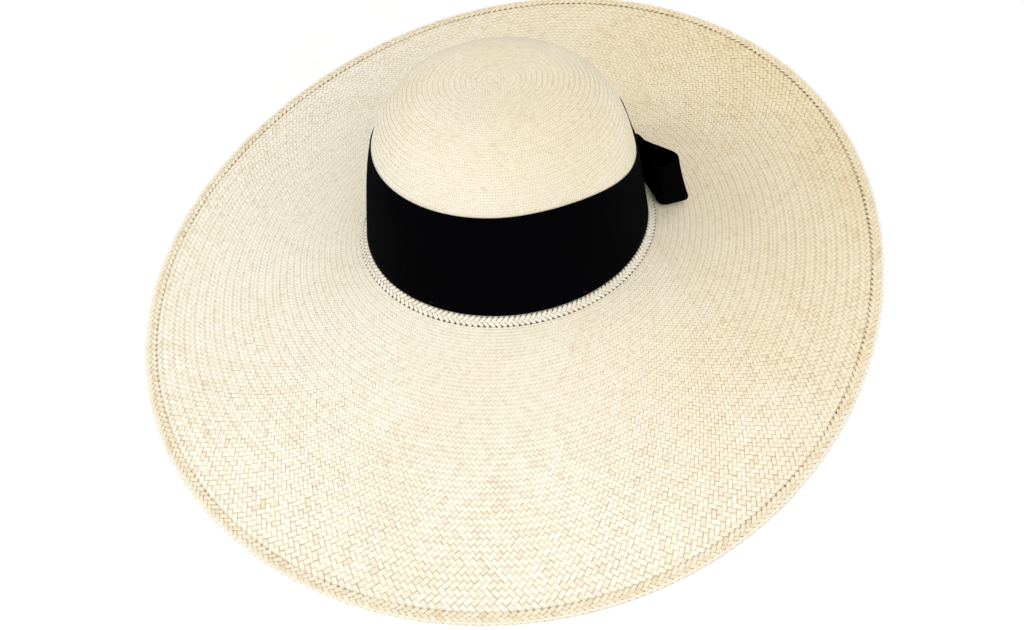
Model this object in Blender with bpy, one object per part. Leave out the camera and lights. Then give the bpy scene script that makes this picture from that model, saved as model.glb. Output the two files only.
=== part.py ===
"""Straw sun hat: woven crown and wide brim, ribbon hatband with a flat bow, inner sweatband.

The hat stands on the underside of its edge braid, which lies in the plane Z = 0.
+Z is up, -Y is the front of the hat and +X is the wearer's left, where the bow is.
The crown leans back, so everything on it is built in its own frame and parented to
an empty that carries the lean.
"""
import math

import bmesh
import bpy

# Crown. The base oval is measured on the outside, at the turn into the brim.
CROWN_HALF_WIDTH = 0.0882
CROWN_HALF_LENGTH = 0.1008
CROWN_HEIGHT = 0.1066
CROWN_TAPER = 0.1575             # loss of radius from base to tip, as a share
CROWN_FULLNESS = (4.84, 4.24)    # the side profile's exponents, across and up: 2 is an ellipse
CROWN_TIP_SHIFT = (-0.0039, -0.0099)
CROWN_WALL = 0.0012
CROWN_LEAN = math.radians(13.26)
CROWN_BASE_Y = -0.0037           # centres the whole hat on the origin, front to back
CROWN_BASE_Z = 0.0428            # world height of the base oval's centre
CROWN_SHOULDER_START = 0.62      # share of the height where the shoulder begins
CROWN_TOP_REACHES = (0.55, 0.40, 0.25, 0.13, 0.05)   # rings of the top, of the radius

# Brim. The width is measured down the slope, from the base oval to the edge.
BRIM_WIDTH = 0.1667
BRIM_WIDTH_FRONT_GAIN = 0.0051
BRIM_WIDTH_SIDE_LOSS = 0.0081
BRIM_WIDTH_THIRD_WAVE = 0.0030
BRIM_THICKNESS = 0.0012
BRIM_FLARE = 1.25                # 1 is a straight slope, more flattens it towards the edge
BRIM_EDGE_LIFT = 0.0012          # height of the brim's middle where it meets the edge braid
EDGE_BRAID_WIDTH = 0.0070
EDGE_BRAID_HEIGHT = 0.0024
EDGE_BRAID_CHAMFER = (0.3, 0.6)   # shares of its width and height left at the outer corner
BASE_BRAID_WIDTH = 0.0050
BASE_BRAID_HEIGHT = 0.0016
BASE_BRAID_GAP = 0.0006

# Ribbons and bands on the crown
GAP = 0.0003
HATBAND_BOTTOM = 0.0013
HATBAND_TOP = 0.0674
HATBAND_DIP = 0.0160             # the bow draws the band's upper edge down on its side
HATBAND_DIP_ANGLE = math.radians(34.0)
HATBAND_DIP_POWER = 3
HATBAND_THICKNESS = 0.0009
HATBAND_LAP = math.radians(14.0)
LAP_RAMP = math.radians(6.0)
SWEATBAND_BOTTOM = 0.0015
SWEATBAND_TOP = 0.0330
SWEATBAND_THICKNESS = 0.0007
SWEATBAND_LAP = math.radians(9.0)
STITCH_DIAMETER = 0.0005
STITCH_LINE_HEIGHT = 0.0040

# Bow, in its own frame: +X to the front along the band, +Y away from the crown
BOW_ANGLE = math.radians(54.0)   # from +X round towards the back
BOW_HEIGHT = 0.0175              # its middle, above the base oval
BOW_LEAN = math.radians(8.5)     # follows the crown's taper
RIBBON_THICKNESS = 0.0008
KNOT_HALF = (0.0081, 0.0046, 0.0104)
KNOT_LIFT = 0.0050
KNOT_END_ANGLE = 1.3             # radians: how far the pad closes at its ends
KNOT_FULLNESS = (0.6, 0.45)      # exponents: smaller is squarer, in plan and at the ends
LOOP_ROOT = (0.0090, 0.0042)     # the hinge line, at the side of the knot
LOOP_START = 0.0006              # from the hinge line to the ribbon
LOOP_LENGTH = 0.0314
LOOP_SQUARENESS = 5.0            # 2 is an elliptical fold, more is a flatter one
LOOP_SPACING = 2.2               # gathers the stations towards the fold
LOOP_INNER = (0.0020, -0.0050)   # the layer along the hatband: at the knot, at the fold
LOOP_OUTER = (0.0064, 0.0178)    # the layer away from it
LOOP_BOTTOM = (-0.0165, -0.0172)
LOOP_HEIGHTS = (0.0305, 0.0320)
LOOP_SPLAY_LOW = (0.0016, 0.0042)    # moves the outer layer's lower edge along and out
LOOP_SPLAY_HIGH = (-0.0014, -0.0018)
LOOP_OUTER_RISE = 0.0006
TAIL_START = (0.0008, 0.0)
TAIL_END = (0.0250, 0.0038)
TAIL_BOTTOMS = (-0.0124, -0.0140)
TAIL_TOPS = (0.0156, 0.0202)
FRONT_FOLLOW = 0.235             # how steeply the lower edge follows the brim outwards
REAR_FOLLOW = 0.0
REAR_RISE = math.radians(8.0)    # lifts the rear loop and tail over the brim
REAR_FLARE = math.radians(-4.0)

# Size label, stitched by its upper edge inside the back of the sweatband
LABEL_WIDTH = 0.0240
LABEL_LENGTH = 0.0140
LABEL_THICKNESS = 0.0005
LABEL_TOP = 0.0290
LABEL_CLEARANCE = 0.0006
LABEL_STATIONS = 3

# Thread tacks that hold the ribbon
TACK_LENGTH = 0.0030
TACK_THICKNESS = 0.0004
TACK_HEIGHT = 0.0050
TACK_ANGLES = {"front": -90.0, "front_left": -30.0, "rear": 100.0, "front_right": -150.0,
               "rear_right": 160.0}

CROWN_SEGMENTS = 72
BAND_STATIONS = 76
BRIM_SEGMENTS = 72
EDGE_SEGMENTS = 96
CROWN_WALL_ROWS = 5
CROWN_SHOULDER_ROWS = 6
BAND_ROWS = 5
BRIM_ROWS = 7
LOOP_STATIONS = 21
TAIL_STATIONS = 5
KNOT_ROWS = 7
KNOT_SEGMENTS = 16

STRAW = ((0.86, 0.80, 0.64), 0.62)
STRAW_EDGE = ((0.76, 0.66, 0.46), 0.65)
BLACK_RIBBON = ((0.012, 0.012, 0.018), 0.72)
BLACK_THREAD = ((0.02, 0.02, 0.025), 0.60)
COTTON = ((0.80, 0.76, 0.66), 0.85)
COTTON_THREAD = ((0.86, 0.83, 0.74), 0.70)
LABEL_CLOTH = ((0.90, 0.89, 0.86), 0.80)


def material(name, look):
    """Return the named Principled material, making it the first time."""
    found = bpy.data.materials.get(name)
    if found:
        return found
    colour, roughness = look
    made = bpy.data.materials.new(name)
    made.use_nodes = True
    shader = made.node_tree.nodes["Principled BSDF"]
    shader.inputs["Base Color"].default_value = (*colour, 1.0)
    shader.inputs["Roughness"].default_value = roughness
    shader.inputs["Metallic"].default_value = 0.0
    made.diffuse_color = (*colour, 1.0)
    return made


def spread(low, high, count):
    """Return count values from low to high, both included."""
    return [low + (high - low) * i / (count - 1) for i in range(count)]


def blend(low, high, share):
    """Return the smooth step from low to high at a share from 0 to 1."""
    share = min(max(share, 0.0), 1.0)
    return low + (high - low) * share * share * (3.0 - 2.0 * share)


def empty(name, location, rotation, parent=None):
    """Add an empty that carries a frame."""
    made = bpy.data.objects.new(name, None)
    bpy.context.scene.collection.objects.link(made)
    made.location = location
    made.rotation_euler = rotation
    made.parent = parent
    return made


def loft(name, loops, look, closed=False, parent=None, location=(0, 0, 0), rotation=(0, 0, 0)):
    """Skin a row of equal point loops into one closed solid.

    closed joins the last loop to the first, as in a ring. Otherwise both ends are
    capped with one flat face each.
    """
    size = len(loops[0])
    mesh = bmesh.new()
    rows = [[mesh.verts.new(point) for point in loop] for loop in loops]
    pairs = list(zip(rows, rows[1:]))
    if closed:
        pairs.append((rows[-1], rows[0]))
    for low, high in pairs:
        for i in range(size):
            j = (i + 1) % size
            mesh.faces.new((low[i], low[j], high[j], high[i]))
    if not closed:
        mesh.faces.new(rows[0])
        mesh.faces.new(rows[-1])
    bmesh.ops.recalc_face_normals(mesh, faces=mesh.faces)
    if mesh.calc_volume(signed=True) < 0.0:
        bmesh.ops.reverse_faces(mesh, faces=mesh.faces)
    data = bpy.data.meshes.new(name)
    mesh.to_mesh(data)
    mesh.free()
    data.polygons.foreach_set("use_smooth", [True] * len(data.polygons))
    data.materials.append(material(name + "_finish", look))
    made = bpy.data.objects.new(name, data)
    bpy.context.scene.collection.objects.link(made)
    made.parent = parent
    made.location = location
    made.rotation_euler = rotation
    return made


# Crown, in the crown's own frame

def crown_point(theta, height, inset):
    """Return a point of the crown's surface, moved in by inset (out if negative)."""
    across, up = CROWN_FULLNESS
    full_height = CROWN_HEIGHT - inset
    share = min(height / full_height, 1.0)
    reach = (1.0 - CROWN_TAPER * share) * (1.0 - share ** up) ** (1.0 / across)
    x = (CROWN_HALF_WIDTH - inset) * reach * math.cos(theta) + CROWN_TIP_SHIFT[0] * share
    y = (CROWN_HALF_LENGTH - inset) * reach * math.sin(theta) + CROWN_TIP_SHIFT[1] * share
    return (x, y, height)


def crown_heights(inset):
    """Return ring heights, even up the wall and closer over the shoulder."""
    across, up = CROWN_FULLNESS
    full_height = CROWN_HEIGHT - inset
    start = math.asin(CROWN_SHOULDER_START ** (up / 2.0))
    end = math.acos(CROWN_TOP_REACHES[0] ** (across / 2.0))
    wall = spread(0.0, CROWN_SHOULDER_START, CROWN_WALL_ROWS)[:-1]
    shoulder = [math.sin(angle) ** (2.0 / up)
                for angle in spread(start, end, CROWN_SHOULDER_ROWS)]
    top = [(1.0 - reach ** across) ** (1.0 / up) for reach in CROWN_TOP_REACHES[1:]]
    return [full_height * share for share in wall + shoulder + top]


def crown_ring(height, inset):
    """Return one horizontal ring of crown points."""
    return [crown_point(math.tau * i / CROWN_SEGMENTS, height, inset)
            for i in range(CROWN_SEGMENTS)]


def build_crown(frame):
    """Make the crown: an open cup of woven straw."""
    inner = [crown_ring(height, CROWN_WALL) for height in reversed(crown_heights(CROWN_WALL))]
    outer = [crown_ring(height, 0.0) for height in crown_heights(0.0)]
    loft("crown", inner + outer, STRAW, parent=frame)


def band_section(theta, bottom, top, near, far):
    """Return a band's cross-section between two insets, from bottom to top."""
    heights = spread(bottom, top, BAND_ROWS)
    inner = [crown_point(theta, height, near) for height in heights]
    outer = [crown_point(theta, height, far) for height in reversed(heights)]
    return inner + outer


def hatband_top(theta):
    """Return the height of the hatband's upper edge."""
    pull = max(math.cos(theta - HATBAND_DIP_ANGLE), 0.0) ** HATBAND_DIP_POWER
    return HATBAND_TOP - HATBAND_DIP * pull


def sweatband_top(theta):
    """Return the height of the sweatband's upper edge, the same all round."""
    return SWEATBAND_TOP


def lapped_band(name, look, frame, bottom, top, start, lap, inset, thickness, outward):
    """Make a ribbon strip that goes once round and laps over its own beginning.

    top is a function that gives the upper edge's height at an angle.
    """
    step_out = (thickness + GAP) * outward
    turn = math.tau + lap
    loops = []
    for angle in spread(0.0, turn, BAND_STATIONS):
        rise = blend(0.0, 1.0, (angle - (math.tau - LAP_RAMP)) / LAP_RAMP)
        near = inset - step_out * rise
        theta = start + angle
        loops.append(band_section(theta, bottom, top(theta), near, near - thickness * outward))
    loft(name, loops, look, parent=frame)


def build_hatband(frame):
    """Make the wide ribbon round the outside of the crown, lapped under the bow."""
    lapped_band("hatband", BLACK_RIBBON, frame, HATBAND_BOTTOM, hatband_top,
                BOW_ANGLE - HATBAND_LAP, HATBAND_LAP, -GAP, HATBAND_THICKNESS, 1.0)


def build_sweatband(frame):
    """Make the inner band, lapped at the back, with its line of stitching."""
    inset = CROWN_WALL + GAP
    lapped_band("sweatband", COTTON, frame, SWEATBAND_BOTTOM, sweatband_top,
                math.pi / 2.0, SWEATBAND_LAP, inset, SWEATBAND_THICKNESS, -1.0)
    inner_face = inset + 2.0 * (SWEATBAND_THICKNESS + GAP)
    low = STITCH_LINE_HEIGHT
    high = STITCH_LINE_HEIGHT + STITCH_DIAMETER
    loops = []
    for i in range(BRIM_SEGMENTS):
        theta = math.tau * i / BRIM_SEGMENTS
        loops.append([crown_point(theta, low, inner_face),
                      crown_point(theta, high, inner_face),
                      crown_point(theta, high, inner_face + STITCH_DIAMETER),
                      crown_point(theta, low, inner_face + STITCH_DIAMETER)])
    loft("sweatband_stitching", loops, COTTON_THREAD, closed=True, parent=frame)


# Brim and braids, in world coordinates

def base_point(theta):
    """Return the base oval's point and its level outward direction."""
    x = CROWN_HALF_WIDTH * math.cos(theta)
    y = CROWN_HALF_LENGTH * math.sin(theta)
    nx = math.cos(theta) / CROWN_HALF_WIDTH
    ny = math.sin(theta) / CROWN_HALF_LENGTH
    length = math.hypot(nx, ny)
    point = (x, CROWN_BASE_Y + y * math.cos(CROWN_LEAN),
             CROWN_BASE_Z - y * math.sin(CROWN_LEAN))
    return point, (nx / length, ny / length)


def brim_reach(theta):
    """Return the level distance from the base oval to the edge of the brim."""
    width = BRIM_WIDTH
    width -= BRIM_WIDTH_FRONT_GAIN * math.sin(theta)
    width -= BRIM_WIDTH_SIDE_LOSS * math.cos(2.0 * theta)
    width -= BRIM_WIDTH_THIRD_WAVE * math.sin(3.0 * theta)
    height = base_point(theta)[0][2]
    return math.sqrt(width * width - height * height)


def brim_point(theta, out, lift=0.0):
    """Return the brim's middle at a level distance out from the base oval."""
    point, direction = base_point(theta)
    share = max(1.0 - out / (brim_reach(theta) - EDGE_BRAID_WIDTH), 0.0)
    height = BRIM_EDGE_LIFT + (point[2] - BRIM_EDGE_LIFT) * share ** BRIM_FLARE
    return (point[0] + direction[0] * out, point[1] + direction[1] * out, height + lift)


def build_brim():
    """Make the brim: a thin woven sheet from the base braid to the edge braid."""
    half = BRIM_THICKNESS / 2.0
    first = BASE_BRAID_GAP + BASE_BRAID_WIDTH + GAP
    loops = []
    for i in range(BRIM_SEGMENTS):
        theta = math.tau * i / BRIM_SEGMENTS
        last = brim_reach(theta) - EDGE_BRAID_WIDTH - GAP
        outs = spread(first, last, BRIM_ROWS)
        upper = [brim_point(theta, out, half) for out in outs]
        lower = [brim_point(theta, out, -half) for out in reversed(outs)]
        loops.append(upper + lower)
    loft("brim", loops, STRAW, closed=True)


def build_base_braid():
    """Make the braided row at the turn from crown to brim."""
    half = BASE_BRAID_HEIGHT / 2.0
    outs = (BASE_BRAID_GAP, BASE_BRAID_GAP + BASE_BRAID_WIDTH)
    loops = []
    for i in range(BRIM_SEGMENTS):
        theta = math.tau * i / BRIM_SEGMENTS
        upper = [brim_point(theta, out, half) for out in outs]
        lower = [brim_point(theta, out, -half) for out in reversed(outs)]
        loops.append(upper + lower)
    loft("crown_base_braid", loops, STRAW_EDGE, closed=True)


def build_edge_braid():
    """Make the braided edge, flat underneath so that the hat stands on it."""
    wide, high = EDGE_BRAID_CHAMFER
    loops = []
    for i in range(EDGE_SEGMENTS):
        theta = math.tau * i / EDGE_SEGMENTS
        point, direction = base_point(theta)
        reach = brim_reach(theta)
        corners = [(reach - EDGE_BRAID_WIDTH, 0.0), (reach, 0.0),
                   (reach, EDGE_BRAID_HEIGHT * high),
                   (reach - EDGE_BRAID_WIDTH * wide, EDGE_BRAID_HEIGHT),
                   (reach - EDGE_BRAID_WIDTH, EDGE_BRAID_HEIGHT)]
        loops.append([(point[0] + direction[0] * out, point[1] + direction[1] * out, height)
                      for out, height in corners])
    loft("brim_edge_braid", loops, STRAW_EDGE, closed=True)


# Bow, in the bow's own frame

def ribbon_loops(lower, upper, thickness):
    """Return rectangular sections of a ribbon between its lower and upper edges."""
    loops = []
    last = len(lower) - 1
    for i, (low, high) in enumerate(zip(lower, upper)):
        before = max(i - 1, 0)
        after = min(i + 1, last)
        dx = lower[after][0] + upper[after][0] - lower[before][0] - upper[before][0]
        dy = lower[after][1] + upper[after][1] - lower[before][1] - upper[before][1]
        length = math.hypot(dx, dy)
        ox = -dy / length * thickness / 2.0
        oy = dx / length * thickness / 2.0
        loops.append([(low[0] - ox, low[1] - oy, low[2]), (low[0] + ox, low[1] + oy, low[2]),
                      (high[0] + ox, high[1] + oy, high[2]),
                      (high[0] - ox, high[1] - oy, high[2])])
    return loops


def loop_edges(side, follow):
    """Return a loop's lower and upper edges, from the hatband's side round the fold."""
    lower = []
    upper = []
    for turn in spread(-1.0, 1.0, LOOP_STATIONS):
        along = 1.0 - abs(turn) ** LOOP_SPACING
        across = (1.0 - along ** LOOP_SQUARENESS) ** (1.0 / LOOP_SQUARENESS)
        across = math.copysign(across, turn)
        inner = LOOP_INNER[0] + (LOOP_INNER[1] - LOOP_INNER[0]) * along * along
        outer = LOOP_OUTER[0] + (LOOP_OUTER[1] - LOOP_OUTER[0]) * along
        x = LOOP_START + LOOP_LENGTH * along
        y = (inner + outer) / 2.0 + (outer - inner) / 2.0 * across
        share = (across + 1.0) / 2.0 * along
        bottom = LOOP_BOTTOM[0] + (LOOP_BOTTOM[1] - LOOP_BOTTOM[0]) * along
        bottom += LOOP_OUTER_RISE * share - follow * y
        top = bottom + LOOP_HEIGHTS[0] + (LOOP_HEIGHTS[1] - LOOP_HEIGHTS[0]) * along
        level = y - LOOP_ROOT[1]
        lower.append((side * (x + LOOP_SPLAY_LOW[0] * share),
                      level + LOOP_SPLAY_LOW[1] * share, bottom))
        upper.append((side * (x + LOOP_SPLAY_HIGH[0] * share),
                      level + LOOP_SPLAY_HIGH[1] * share, top + follow * y / 2.0))
    return lower, upper


def build_loop(name, frame, side, follow, rise, flare):
    """Make one loop of the bow: it leaves the knot along the hatband and folds back."""
    lower, upper = loop_edges(side, follow)
    loft(name, ribbon_loops(lower, upper, RIBBON_THICKNESS), BLACK_RIBBON, parent=frame,
         location=(side * LOOP_ROOT[0], LOOP_ROOT[1], 0.0),
         rotation=(0.0, -side * rise, side * flare))


def build_tail(name, frame, side, rise, flare):
    """Make one tail of the bow: a ribbon end inside the loop, cut straight."""
    lower = []
    upper = []
    for share in spread(0.0, 1.0, TAIL_STATIONS):
        x = side * (TAIL_START[0] + (TAIL_END[0] - TAIL_START[0]) * share)
        y = TAIL_START[1] + (TAIL_END[1] - TAIL_START[1]) * share
        lower.append((x, y, TAIL_BOTTOMS[0] + (TAIL_BOTTOMS[1] - TAIL_BOTTOMS[0]) * share))
        upper.append((x, y, TAIL_TOPS[0] + (TAIL_TOPS[1] - TAIL_TOPS[0]) * share))
    loft(name, ribbon_loops(lower, upper, RIBBON_THICKNESS), BLACK_RIBBON, parent=frame,
         location=(side * LOOP_ROOT[0], LOOP_ROOT[1], 0.0),
         rotation=(0.0, -side * rise, side * flare))


def build_knot(frame):
    """Make the bow's centre wrap as a rounded pad."""
    plan, ends = KNOT_FULLNESS
    loops = []
    for angle in spread(-KNOT_END_ANGLE, KNOT_END_ANGLE, KNOT_ROWS):
        shrink = math.cos(angle) ** ends
        height = KNOT_HALF[2] * math.sin(angle) / math.sin(KNOT_END_ANGLE)
        ring = []
        for i in range(KNOT_SEGMENTS):
            turn = math.tau * i / KNOT_SEGMENTS
            c = math.cos(turn)
            s = math.sin(turn)
            x = KNOT_HALF[0] * math.copysign(abs(c) ** plan, c) * shrink
            y = KNOT_HALF[1] * math.copysign(abs(s) ** plan, s) * shrink
            ring.append((x, y + KNOT_LIFT + GAP, height))
        loops.append(ring)
    loft("bow_knot", loops, BLACK_RIBBON, parent=frame)


def build_bow(crown_frame):
    """Make the bow on the wearer's left, towards the back."""
    outer_face = -(2.0 * HATBAND_THICKNESS + 2.0 * GAP)
    frame = empty("bow_frame", crown_point(BOW_ANGLE, BOW_HEIGHT, outer_face),
                  (BOW_LEAN, 0.0, BOW_ANGLE - math.pi / 2.0), crown_frame)
    build_knot(frame)
    build_loop("bow_front_loop", frame, 1.0, FRONT_FOLLOW, 0.0, 0.0)
    build_loop("bow_rear_loop", frame, -1.0, REAR_FOLLOW, REAR_RISE, REAR_FLARE)
    build_tail("bow_front_tail", frame, 1.0, 0.0, 0.0)
    build_tail("bow_rear_tail", frame, -1.0, REAR_RISE, REAR_FLARE)


# Label and tacks

def build_label(frame):
    """Make the blank size label, with its origin on its stitched upper edge."""
    inner_face = CROWN_WALL + GAP + 2.0 * (SWEATBAND_THICKNESS + GAP) + LABEL_CLEARANCE
    hinge = crown_point(math.pi / 2.0, LABEL_TOP, inner_face)
    loops = []
    for x in spread(-LABEL_WIDTH / 2.0, LABEL_WIDTH / 2.0, LABEL_STATIONS):
        loops.append([(x, 0.0, 0.0), (x, 0.0, -LABEL_LENGTH),
                      (x, -LABEL_THICKNESS, -LABEL_LENGTH), (x, -LABEL_THICKNESS, 0.0)])
    sag = (x * x) / (2.0 * CROWN_HALF_LENGTH)
    location = (0.0, hinge[1] - sag, hinge[2])
    loft("size_label", loops, LABEL_CLOTH, parent=frame, location=location)


def build_tack(name, frame, theta, height, inset):
    """Make one short stitch that lies on the ribbon, along the band."""
    half_turn = TACK_LENGTH / (2.0 * CROWN_HALF_LENGTH)
    loops = []
    for angle in (theta - half_turn, theta + half_turn):
        loops.append([crown_point(angle, height, inset),
                      crown_point(angle, height + TACK_THICKNESS, inset),
                      crown_point(angle, height + TACK_THICKNESS, inset - TACK_THICKNESS),
                      crown_point(angle, height, inset - TACK_THICKNESS)])
    loft(name, loops, BLACK_THREAD, parent=frame)


def main():
    """Build the whole hat."""
    for old in list(bpy.data.objects):
        bpy.data.objects.remove(old, do_unlink=True)
    crown_frame = empty("crown_frame", (0.0, CROWN_BASE_Y, CROWN_BASE_Z),
                        (-CROWN_LEAN, 0.0, 0.0))
    build_crown(crown_frame)
    build_base_braid()
    build_brim()
    build_edge_braid()
    build_hatband(crown_frame)
    build_sweatband(crown_frame)
    build_bow(crown_frame)
    build_label(crown_frame)
    tack_inset = -(GAP + HATBAND_THICKNESS + GAP)
    for place, degrees in TACK_ANGLES.items():
        build_tack("hatband_tack_" + place, crown_frame, math.radians(degrees), TACK_HEIGHT,
                   tack_inset)


main()
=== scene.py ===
from math import ceil, cos, floor, pi, radians, sin, sqrt, tau

import bpy
import numpy as np
from mathutils import Matrix, Vector


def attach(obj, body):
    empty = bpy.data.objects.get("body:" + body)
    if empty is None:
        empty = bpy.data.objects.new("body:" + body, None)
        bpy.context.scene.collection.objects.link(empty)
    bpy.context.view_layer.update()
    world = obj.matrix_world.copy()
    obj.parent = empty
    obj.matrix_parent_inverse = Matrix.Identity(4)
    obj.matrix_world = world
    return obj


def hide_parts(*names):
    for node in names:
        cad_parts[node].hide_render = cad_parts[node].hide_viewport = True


# Straw sun hat. Metres, +Z up, -Y the front of the hat, +X the wearer's left.
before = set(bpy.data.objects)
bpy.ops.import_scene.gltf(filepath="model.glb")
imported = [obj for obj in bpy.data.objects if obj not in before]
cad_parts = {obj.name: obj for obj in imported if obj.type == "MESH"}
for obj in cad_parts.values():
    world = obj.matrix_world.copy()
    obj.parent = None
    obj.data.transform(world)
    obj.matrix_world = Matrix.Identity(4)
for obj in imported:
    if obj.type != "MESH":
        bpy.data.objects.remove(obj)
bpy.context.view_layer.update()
RNG = np.random.default_rng(11)

# Crown, as the CAD model has it
CROWN_HALF_WIDTH = 0.0882
CROWN_HALF_LENGTH = 0.1008
CROWN_HEIGHT = 0.1066
CROWN_TAPER = 0.1575
CROWN_FULLNESS = (4.84, 4.24)
CROWN_TIP_SHIFT = (-0.0039, -0.0099)
CROWN_WALL = 0.0012
CROWN_LEAN = radians(13.26)
CROWN_BASE = (0.0, -0.0037, 0.0428)

# Brim and braids, as the CAD model has them
BRIM_WIDTH = 0.1667
BRIM_WIDTH_FRONT_GAIN = 0.0051
BRIM_WIDTH_SIDE_LOSS = 0.0081
BRIM_WIDTH_THIRD_WAVE = 0.0030
BRIM_FLARE = 1.25
BRIM_EDGE_LIFT = 0.0012
EDGE_BRAID_WIDTH = 0.0070
BASE_BRAID_WIDTH = 0.0050
BASE_BRAID_GAP = 0.0006
BASE_MEAN_RADIUS = 0.0946

# Bands, bow and label, as the CAD model has them unless a note says otherwise
GAP = 0.0003
HATBAND_BOTTOM = 0.0013
HATBAND_TOP = 0.0674
HATBAND_DIP = 0.0160
HATBAND_DIP_ANGLE = radians(34.0)
HATBAND_DIP_POWER = 3
HATBAND_THICKNESS = 0.0009
HATBAND_LAP = radians(14.0)
LAP_RAMP = radians(6.0)
SWEATBAND_BOTTOM = 0.0015
SWEATBAND_TOP = 0.0330
SWEATBAND_THICKNESS = 0.0007
SWEATBAND_LAP = radians(9.0)
STITCH_DIAMETER = 0.0005
STITCH_LINE_HEIGHT = 0.0040
BOW_ANGLE = radians(54.0)
BOW_HEIGHT = 0.0175
BOW_LEAN = radians(8.5)
RIBBON_THICKNESS = 0.0008
KNOT_HALF = (0.0081, 0.0046, 0.0104)
KNOT_LIFT = 0.0050
KNOT_END_ANGLE = 1.3
KNOT_FULLNESS = (0.6, 0.45)
KNOT_ROWS = 40
KNOT_SIDES = 96
KNOT_RUN_RADIUS = 0.0043         # spaces the threads round the knot
PLEATS = 44.0
PLEAT_DEPTH = 0.028              # as a share of the knot's radius
LOOP_ROOT = (0.0090, 0.0042)
LOOP_START = 0.0012              # drawn further from the knot than its solid
LOOP_LENGTH = 0.0308
LOOP_SQUARENESS = 5.0
LOOP_INNER = (0.0012, -0.0059)   # drawn closer to the hatband than its solid
LOOP_OUTER = (0.0064, 0.0178)
LOOP_BOTTOM = (-0.0165, -0.0172)
LOOP_HEIGHTS = (0.0305, 0.0320)
LOOP_SPLAY_LOW = (0.0016, 0.0042)
LOOP_SPLAY_HIGH = (-0.0014, -0.0018)
LOOP_OUTER_RISE = 0.0006
LOOP_SAMPLES = 4001
LOOP_STATIONS = 520
TAIL_ALONG = (0.0008, 0.0250)    # each pair is at the knot and at the cut end
TAIL_OUT = (0.0, 0.0038)
TAIL_BOTTOMS = (-0.0124, -0.0140)
TAIL_TOPS = (0.0156, 0.0202)
TAIL_SAMPLES = 200
TAIL_STATIONS = 160
FRONT_FOLLOW = 0.235
REAR_FOLLOW = 0.0
REAR_RISE = radians(8.0)
REAR_FLARE = radians(-4.0)
LABEL_WIDTH = 0.0240
LABEL_LENGTH = 0.0140
LABEL_THICKNESS = 0.0005
LABEL_HINGE = (0.0, 0.08937, 0.050662)
LABEL_THINNING = 0.00008         # off each side of the drawn label, less at its folds
LABEL_FOLD = 0.00004

# Ribbon and cloth
RIB = (0.00095, 0.00007)         # pitch and depth of the hatband's ribs
BOW_RIB = (0.00095, 0.00006)
COTTON_RIB = (0.0040, 0.00002)
RIBBON_THINNING = 0.0003         # the drawn ribbon is this much thinner than its solid
COTTON_THINNING = 0.0001
RIBBON_CUP = 0.0006              # how far a bow ribbon bows out across its width
RIBBON_SEAT = 0.0002             # the woven strands let the band lie this far in
SELVAGE_RISE = 0.00010           # a ribbon is thicker just inside its rim
SELVAGE_EDGE = 0.00012
BAND_SELVAGE = 0.012             # a selvage's width, as a share of the ribbon's
BOW_SELVAGE = 0.02
LOOP_CORNER = 0.0032             # lifts a loop's lower edge where it turns outwards
LOOP_CORNER_FROM = 0.55
HATBAND_STATIONS = 3600
SWEATBAND_STATIONS = 900
BAND_ROWS = 12
OUTWARD_STEP = 0.0005            # to find a surface's outward direction

# Weave
STRAW_PITCH = 0.00117            # across a strand, on the crown and where the brim starts
BRIM_STRANDS = 363               # in each of the two directions
BRIM_MEAN_REACH = 0.1597         # the mean of brim_reach, which sets the rows' spacing
STRAW_CROWNING = 0.00007         # how far a strand's middle stands above its edges
CROWN_RELIEF = 0.00011           # how far a strand rises over and dips under the others
BRIM_RELIEF = (0.00012, 0.00021)   # at the crown and at the edge
STRAND_COVER = (0.93, 1.01)      # a strand's width, as a share of its pitch
STRAND_WANDER = 0.05             # sideways, as a share of the pitch
RELIEF_WANDER = 0.12
# keeps each piece under the exporter's face limit
PIECE_STATIONS = 29000           # keeps each piece to at most this many stations
TABLE_SAMPLES = (6000, 2000)     # of the crown and the brim
ROWS_PER_TWILL = 4.0             # after so many rows the two-over, two-under repeats
ZONE_ROWS = (4.0, 8.0)           # between changes of the crown's strand count
ZONE_ROWS_CHANGE = 30.0          # the row where zones of the second length begin
LAST_ZONE_ROWS = 6.0             # a shorter zone at the base joins the one before
STRAND_EDGES = np.array([-1.0, 0.0, 1.0])[None, None, :]
ROUND_SIDES = 10                 # of a braid's core and edge strand

# Tan: painted shade towards the back and the wearer's left, and more tan towards the crown's top
TAN_TOWARD = (0.55, 0.84)
TAN_FROM = -0.06
TAN_SPAN = 0.30
TAN_POWER = 1.3
CROWN_TAN = 0.35
CROWN_TAN_FROM = 0.115
CROWN_TAN_SPAN = 0.035

# The square the crown starts from
BUTTON_STRANDS = 5
BUTTON_STEP = 0.00095
BUTTON_REACH = 2.7               # half its size, in steps
BUTTON_COVER = 0.46              # half a strand's width, as a share of the step
BUTTON_RELIEF = 0.00013
BUTTON_FALL = 0.00030
BUTTON_SEAT = 0.0001
BUTTON_CROWNING = 0.00022

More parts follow.
